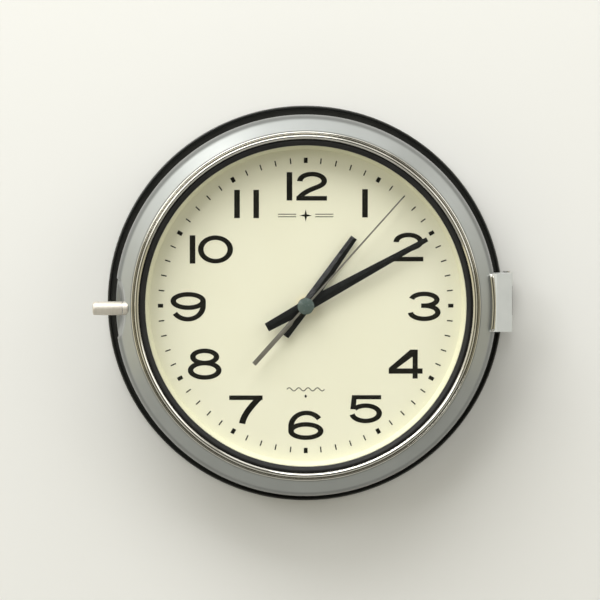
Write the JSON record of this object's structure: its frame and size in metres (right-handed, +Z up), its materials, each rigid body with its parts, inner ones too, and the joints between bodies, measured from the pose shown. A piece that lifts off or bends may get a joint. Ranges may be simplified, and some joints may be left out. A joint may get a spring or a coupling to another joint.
{
  "type": "ships deck clock",
  "caption": "Round bulkhead quartz clock with black wall flange, domed grey cover that swings on a side hinge, chrome bezel, glass, cream dial, three hands and a thumb latch.",
  "frame": {"origin": "centre of the round wall flange, on the wall plane, behind the centre of the dial", "axes": "+Z up with twelve o'clock at the top, +Y into the wall, so the dial looks along -Y; +X to the reader's right, towards three o'clock and the hinge"},
  "size_m": [0.2501, 0.059, 0.24],
  "materials": {
    "flange_black": "satin black paint",
    "dome_grey": "gloss grey paint",
    "chrome": "polished",
    "clear_glass": "clear",
    "black_rubber": "matt",
    "dial_cream": "matt enamel",
    "satin_alloy": "satin turned",
    "hinge_grey": "satin grey paint over a cast block",
    "bright_steel": "plain",
    "zinc_sheet": "zinc plated",
    "brass": "plain",
    "movement_black": "moulded",
    "gear_white": "moulded",
    "copper_wire": "enamelled wire",
    "magnet_dark": "sintered",
    "board_green": "solder mask",
    "cell_jacket": "plain jacket",
    "hand_black": "satin black paint",
    "boss_slate": "satin slate paint",
    "second_grey": "satin grey-brown paint"
  },
  "bodies": {
    "case": {"back_plate": "flange_black", "cover_seal": "black_rubber", "dial_pan": "zinc_sheet", "case_rivets": "bright_steel", "battery_hatch": "flange_black", "hatch_screws": "bright_steel", "latch_catch": "zinc_sheet", "dial": "dial_cream", "chapter_ring": "dial_cream", "dial_screws": "bright_steel", "hinge_bracket": "flange_black", "hinge_pin": "bright_steel", "movement_housing": "movement_black", "movement_middle_plate": "movement_black", "movement_front_plate": "movement_black", "movement_screws": "bright_steel", "centre_nut": "brass", "battery_cell": "cell_jacket", "battery_contact_positive": "bright_steel", "battery_contact_negative": "bright_steel", "stator": "bright_steel", "coil_core": "bright_steel", "coil_bobbin": "gear_white", "coil_winding": "copper_wire", "circuit_board": "board_green", "quartz_crystal": "bright_steel", "driver_chip": "movement_black"},
    "cover": {"cover_shell": "dome_grey", "bezel": "chrome", "glass": "clear_glass", "glass_gasket": "black_rubber", "glass_retainer": "bright_steel", "retainer_screws": "bright_steel", "latch_washer": "chrome", "latch_bush": "satin_alloy", "hinge_block": "hinge_grey", "hinge_screws": "bright_steel"},
    "latch_knob": {"latch_knob": "satin_alloy"},
    "second_hand": {"second_hand": "second_grey", "second_boss": "boss_slate", "second_arbor": "bright_steel", "second_wheel": "gear_white"},
    "minute_hand": {"minute_hand": "hand_black", "cannon_pinion": "brass", "centre_wheel": "gear_white"},
    "hour_hand": {"hour_hand": "hand_black", "hour_wheel": "gear_white"},
    "third_wheel": {"third_arbor": "bright_steel", "third_wheel": "gear_white"},
    "motion_wheel": {"motion_pinion": "gear_white", "motion_wheel": "gear_white"},
    "intermediate_wheel": {"intermediate_arbor": "bright_steel", "intermediate_wheel": "gear_white"},
    "rotor": {"rotor_arbor": "bright_steel", "rotor_magnet": "magnet_dark"},
    "setting_knob": {"setting_knob": "gear_white"}
  },
  "joints": [
    {"name": "cover_hinge", "type": "hinge", "parent": "case", "child": "cover", "pos_m": [0.122, -0.008, 0.002], "axis": [0, 0, 1], "range_deg": [0, 100]},
    {"name": "latch_turn", "type": "hinge", "parent": "cover", "child": "latch_knob", "pos_m": [-0.107, -0.051, -0.0012], "axis": [1, 0, 0], "range_deg": [0, 180]},
    {"name": "second_turn", "type": "hinge", "parent": "case", "child": "second_hand", "pos_m": [0, -0.05, 0], "axis": [0, 1, 0], "continuous": true},
    {"name": "minute_turn", "type": "hinge", "parent": "case", "child": "minute_hand", "pos_m": [0, -0.0468, 0], "axis": [0, 1, 0], "continuous": true},
    {"name": "hour_turn", "type": "hinge", "parent": "case", "child": "hour_hand", "pos_m": [0, -0.0442, 0], "axis": [0, 1, 0], "continuous": true},
    {"name": "third_turn", "type": "hinge", "parent": "case", "child": "third_wheel", "pos_m": [0.01379, -0.0225, 0.01157], "axis": [0, 1, 0], "continuous": true},
    {"name": "motion_turn", "type": "hinge", "parent": "case", "child": "motion_wheel", "pos_m": [-0.01128, -0.0297, -0.0041], "axis": [0, 1, 0], "continuous": true},
    {"name": "intermediate_turn", "type": "hinge", "parent": "case", "child": "intermediate_wheel", "pos_m": [-0.01103, -0.0155, 0.00926], "axis": [0, 1, 0], "continuous": true},
    {"name": "rotor_turn", "type": "hinge", "parent": "case", "child": "rotor", "pos_m": [-0.02164, -0.012, 0.01538], "axis": [0, 1, 0], "continuous": true},
    {"name": "setting_turn", "type": "hinge", "parent": "case", "child": "setting_knob", "pos_m": [-0.01538, -0.004, -0.01538], "axis": [0, 1, 0], "continuous": true}
  ],
  "couplings": [
    {"joint": "minute_turn", "follows": "second_turn", "ratio": 0.016667},
    {"joint": "hour_turn", "follows": "second_turn", "ratio": 0.0013889},
    {"joint": "third_turn", "follows": "second_turn", "ratio": -0.125},
    {"joint": "motion_turn", "follows": "second_turn", "ratio": -0.0055556},
    {"joint": "intermediate_turn", "follows": "second_turn", "ratio": -5},
    {"joint": "rotor_turn", "follows": "second_turn", "ratio": 30},
    {"joint": "setting_turn", "follows": "second_turn", "ratio": 0.016667}
  ]
}
